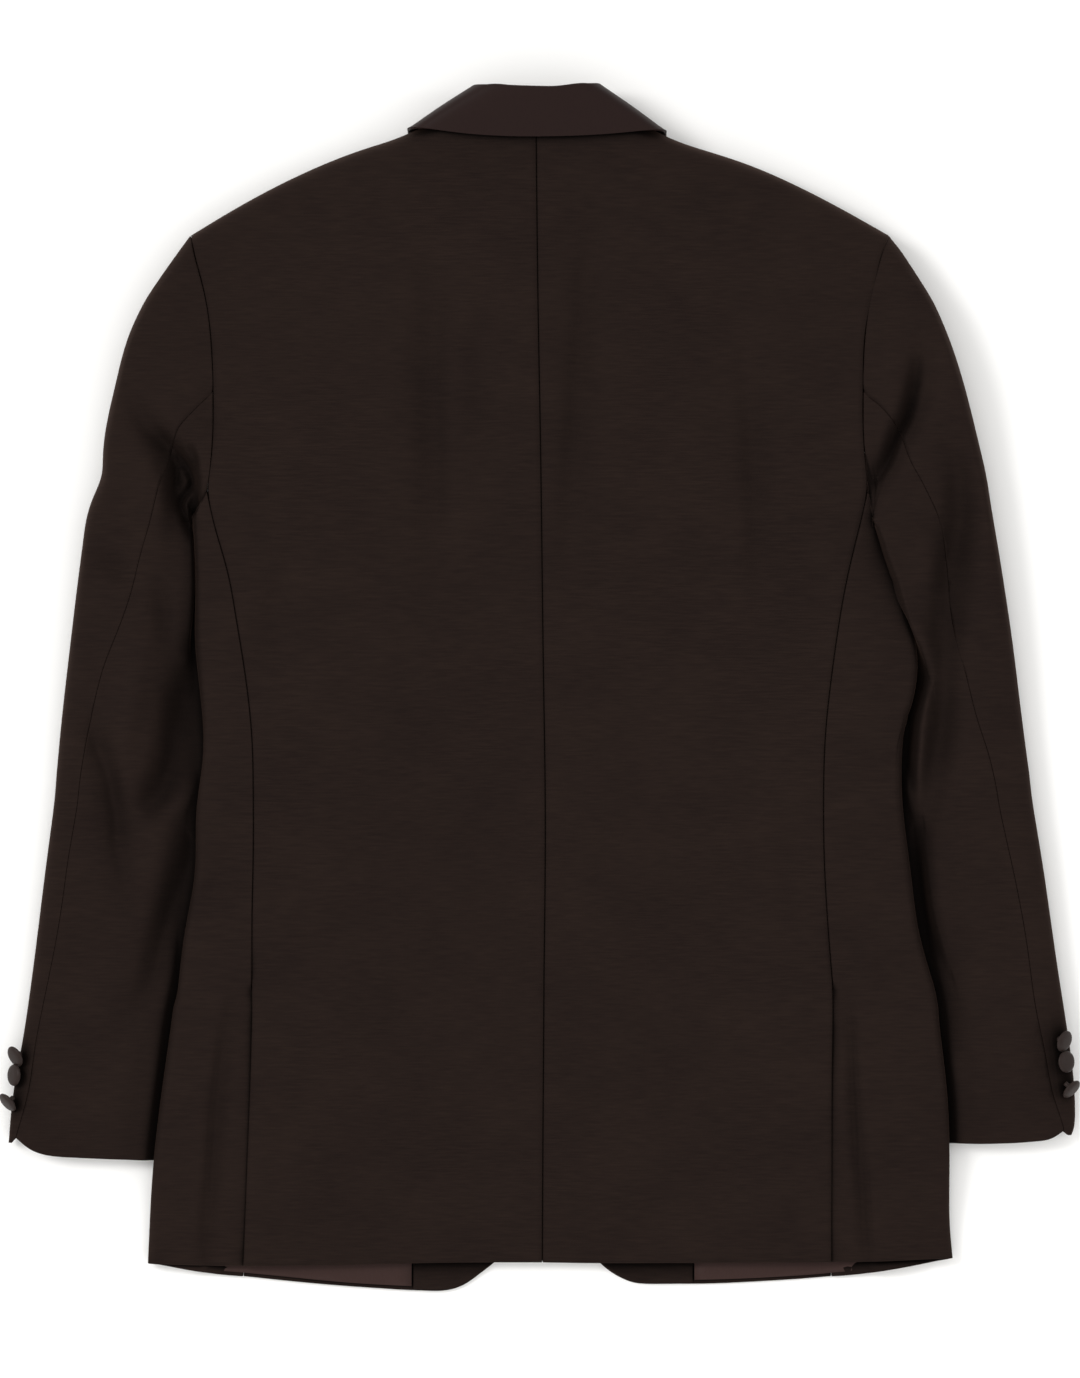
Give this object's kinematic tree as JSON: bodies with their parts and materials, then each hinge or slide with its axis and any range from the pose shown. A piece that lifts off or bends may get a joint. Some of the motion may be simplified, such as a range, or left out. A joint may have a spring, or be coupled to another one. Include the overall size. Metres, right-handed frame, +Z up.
{
  "type": "two-button blazer",
  "caption": "Dark wool dinner blazer laid on its front: satin collar, curved back seams, side vents, set-in sleeves with covered buttons at the cuffs.",
  "frame": {"origin": "middle of the garment's outline, on the surface that it lies on", "axes": "+X to the right of the jacket seen from above, which is the wearer's right; +Y from the hem to the collar; +Z up, out of the back"},
  "size_m": [0.7049, 0.788, 0.0433],
  "materials": {
    "wool": "matt fine dark brown-black wool",
    "satin": "soft satin",
    "satin_button": "satin stretched over a button",
    "lining": "smooth twill lining"
  },
  "bodies": {
    "root": {"back_left": "wool", "back_right": "wool", "collar": "satin", "cuff_button_left_1": "satin_button", "cuff_button_left_2": "satin_button", "cuff_button_left_3": "satin_button", "cuff_button_right_1": "satin_button", "cuff_button_right_2": "satin_button", "cuff_button_right_3": "satin_button", "facing_left": "wool", "facing_right": "wool", "front_button_1": "satin_button", "front_button_2": "satin_button", "front_left": "wool", "front_right": "wool", "lapel_left": "satin", "lapel_right": "satin", "lining_left": "lining", "lining_right": "lining", "side_left": "wool", "side_right": "wool", "under_sleeve_left": "wool", "under_sleeve_right": "wool", "upper_sleeve_left": "wool", "upper_sleeve_right": "wool"}
  },
  "joints": []
}
